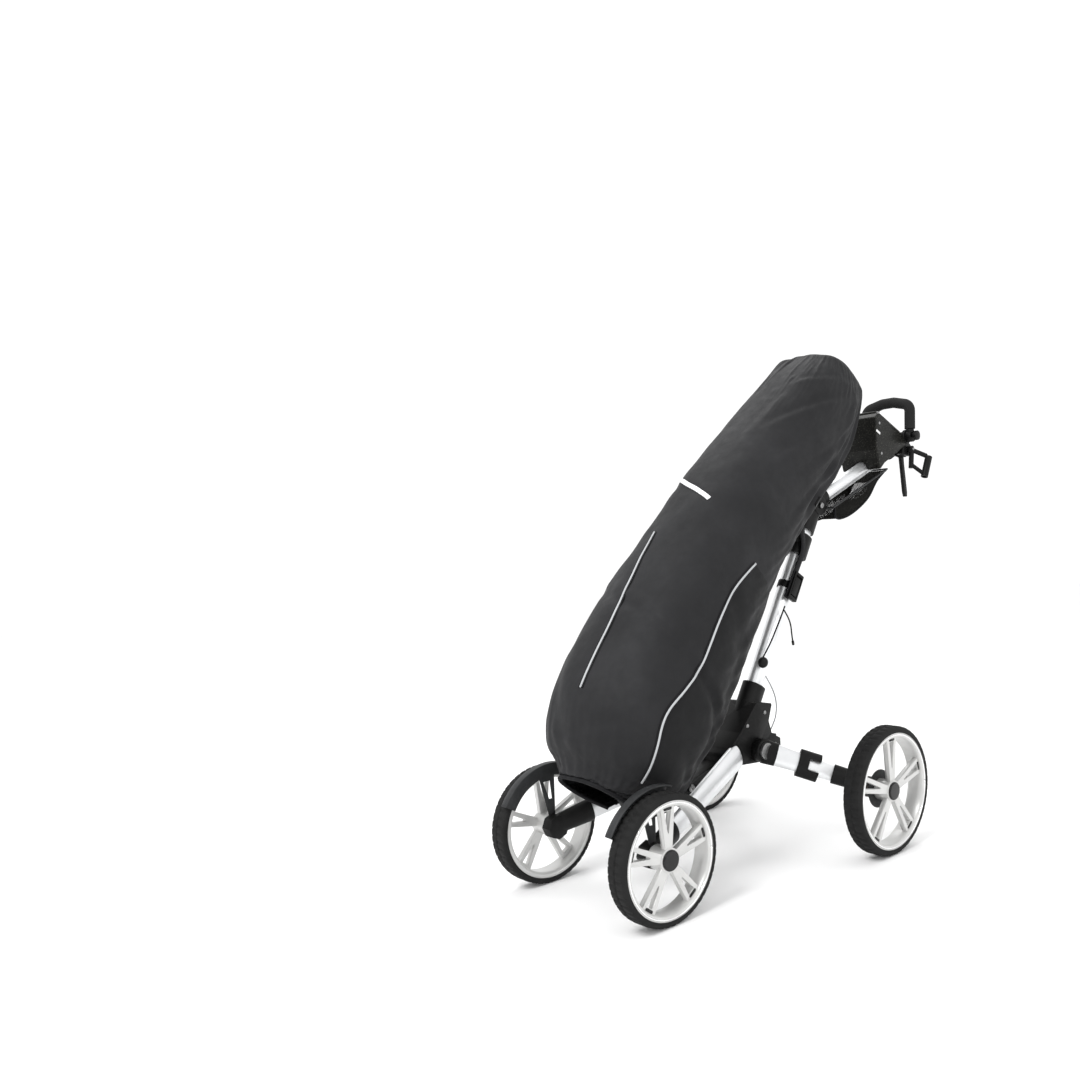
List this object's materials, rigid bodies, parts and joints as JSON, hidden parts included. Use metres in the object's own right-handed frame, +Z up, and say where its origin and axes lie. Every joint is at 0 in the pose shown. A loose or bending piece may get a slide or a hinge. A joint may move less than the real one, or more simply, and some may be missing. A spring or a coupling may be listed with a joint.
{
  "type": "golf bag on push cart",
  "caption": "Four-wheel folding golf push cart with a golf bag under a hooded rain cover, console, handle and brake lever.",
  "frame": {"origin": "middle of the wheels' length and width, on the ground", "axes": "+X to the cart's left, -Y the way it rolls forward, +Z up"},
  "size_m": [0.627, 1.319, 1.1762],
  "materials": {
    "silver_tube": "satin",
    "black_moulding": "matte",
    "gloss_black": "gloss",
    "tyre": "matte",
    "rim_silver": "satin",
    "steel": "satin",
    "cover_cloth": "matte",
    "net": "matte",
    "grip_foam": "matte",
    "bag_cloth": "matte",
    "bag_moulding": "matte",
    "club_shaft": "gloss",
    "cable_sleeve": "matte",
    "dark_bracket": "satin"
  },
  "bodies": {
    "frame": {"main_tube": "silver_tube", "joint_housing": "black_moulding", "front_legs": "silver_tube", "front_knuckles": "black_moulding", "front_axles": "steel", "front_mudguards": "dark_bracket", "top_joint": "black_moulding", "upper_tube": "silver_tube", "upper_bag_bracket": "black_moulding", "lower_cradle": "black_moulding", "strap_buckle": "black_moulding", "frame_pins": "steel", "console_tray": "black_moulding", "handle_yoke": "black_moulding", "handle_bolt": "black_moulding", "net_pouch": "net", "pouch_hoop": "dark_bracket", "brake_cable": "cable_sleeve", "bag_base": "bag_moulding", "bag_shell": "bag_cloth", "bag_cuff": "bag_moulding", "front_pocket": "bag_cloth", "golf_clubs": "club_shaft", "rain_cover": "cover_cloth"},
    "rear_leg_frame": {"rear_pivot_shaft": "steel", "rear_leg_brackets": "black_moulding", "rear_legs": "silver_tube", "leg_clamps": "black_moulding", "rear_knuckles": "black_moulding", "rear_axles": "steel"},
    "console_lid": {"console_lid": "black_moulding"},
    "scorecard_clip": {"scorecard_clip": "black_moulding"},
    "handle": {"handle_frame": "black_moulding", "handle_grip": "grip_foam"},
    "brake_lever": {"brake_lever": "black_moulding"},
    "umbrella_socket": {"umbrella_socket": "black_moulding"},
    "fold_release_lever": {"fold_release_lever": "black_moulding"},
    "buckle_lever": {"buckle_lever": "black_moulding"},
    "front_wheel_left": {"front_tyre_left": "tyre", "front_rim_left": "rim_silver", "front_bearings_left": "steel", "front_hub_cap_left": "gloss_black"},
    "rear_wheel_left": {"rear_tyre_left": "tyre", "rear_rim_left": "rim_silver", "rear_bearings_left": "steel", "rear_hub_cap_left": "gloss_black", "brake_disc_left": "dark_bracket"},
    "brake_pad_left": {"brake_pad_left": "dark_bracket"},
    "bracket_arm_left": {"bracket_arm_left": "black_moulding"},
    "front_wheel_right": {"front_tyre_right": "tyre", "front_rim_right": "rim_silver", "front_bearings_right": "steel", "front_hub_cap_right": "gloss_black"},
    "rear_wheel_right": {"rear_tyre_right": "tyre", "rear_rim_right": "rim_silver", "rear_bearings_right": "steel", "rear_hub_cap_right": "gloss_black", "brake_disc_right": "dark_bracket"},
    "brake_pad_right": {"brake_pad_right": "dark_bracket"},
    "bracket_arm_right": {"bracket_arm_right": "black_moulding"}
  },
  "joints": [
    {"name": "front_wheel_left_spin", "type": "hinge", "parent": "frame", "child": "front_wheel_left", "pos_m": [0.186, -0.53154, 0.128], "axis": [1, 0, 0], "continuous": true},
    {"name": "rear_wheel_left_spin", "type": "hinge", "parent": "rear_leg_frame", "child": "rear_wheel_left", "pos_m": [0.29, 0.08246, 0.1475], "axis": [1, 0, 0], "continuous": true},
    {"name": "front_wheel_right_spin", "type": "hinge", "parent": "frame", "child": "front_wheel_right", "pos_m": [-0.186, -0.53154, 0.128], "axis": [1, 0, 0], "continuous": true},
    {"name": "rear_wheel_right_spin", "type": "hinge", "parent": "rear_leg_frame", "child": "rear_wheel_right", "pos_m": [-0.29, 0.08246, 0.1475], "axis": [1, 0, 0], "continuous": true},
    {"name": "rear_legs_fold", "type": "hinge", "parent": "frame", "child": "rear_leg_frame", "pos_m": [0, -0.07654, 0.238], "axis": [-1, 0, 0], "range_deg": [0, 130]},
    {"name": "handle_angle", "type": "hinge", "parent": "frame", "child": "handle", "pos_m": [0, 0.59246, 1.002], "axis": [1, 0, 0], "range_deg": [-50, 0]},
    {"name": "console_lid_hinge", "type": "hinge", "parent": "frame", "child": "console_lid", "pos_m": [0, 0.46176, 1.06054], "axis": [1, 0, 0], "range_deg": [0, 95]},
    {"name": "scorecard_clip_hinge", "type": "hinge", "parent": "console_lid", "child": "scorecard_clip", "pos_m": [0, 0.48799, 1.05322], "axis": [1, 0, 0], "range_deg": [0, 35], "stiffness_Nm_per_rad": 0.08, "springref_deg": -17.19},
    {"name": "brake_lever_pull", "type": "hinge", "parent": "frame", "child": "brake_lever", "pos_m": [0.028, 0.60846, 0.962], "axis": [1, 0, 0], "range_deg": [0, 30]},
    {"name": "brake_pad_left_slide", "type": "slide", "parent": "rear_leg_frame", "child": "brake_pad_left", "axis": [1, 0, 0], "range_m": [0, 0.003]},
    {"name": "brake_pad_right_slide", "type": "slide", "parent": "rear_leg_frame", "child": "brake_pad_right", "axis": [-1, 0, 0], "range_m": [0, 0.003]},
    {"name": "umbrella_socket_tilt", "type": "hinge", "parent": "frame", "child": "umbrella_socket", "pos_m": [0.058, 0.61046, 0.968], "axis": [1, 0, 0], "range_deg": [0, 60]},
    {"name": "fold_release", "type": "hinge", "parent": "frame", "child": "fold_release_lever", "pos_m": [0, -0.00754, 0.262], "axis": [-1, 0, 0], "range_deg": [0, 12], "stiffness_Nm_per_rad": 0.6, "springref_deg": -11.46},
    {"name": "strap_cam", "type": "hinge", "parent": "frame", "child": "buckle_lever", "pos_m": [0.029, 0.11615, 0.62936], "axis": [0, -0.8624, 0.5063], "range_deg": [0, 100]},
    {"name": "bracket_arm_left_swing", "type": "hinge", "parent": "frame", "child": "bracket_arm_left", "pos_m": [0.03509, 0.12212, 0.77483], "axis": [0, 0.7314, 0.682], "range_deg": [0, 20]},
    {"name": "bracket_arm_right_swing", "type": "hinge", "parent": "frame", "child": "bracket_arm_right", "pos_m": [-0.03509, 0.12212, 0.77483], "axis": [0, -0.7314, -0.682], "range_deg": [0, 20]}
  ],
  "couplings": [
    {"joint": "brake_pad_left_slide", "follows": "brake_lever_pull", "m_per_rad": 0.0047699},
    {"joint": "brake_pad_right_slide", "follows": "brake_lever_pull", "m_per_rad": 0.0047699}
  ]
}
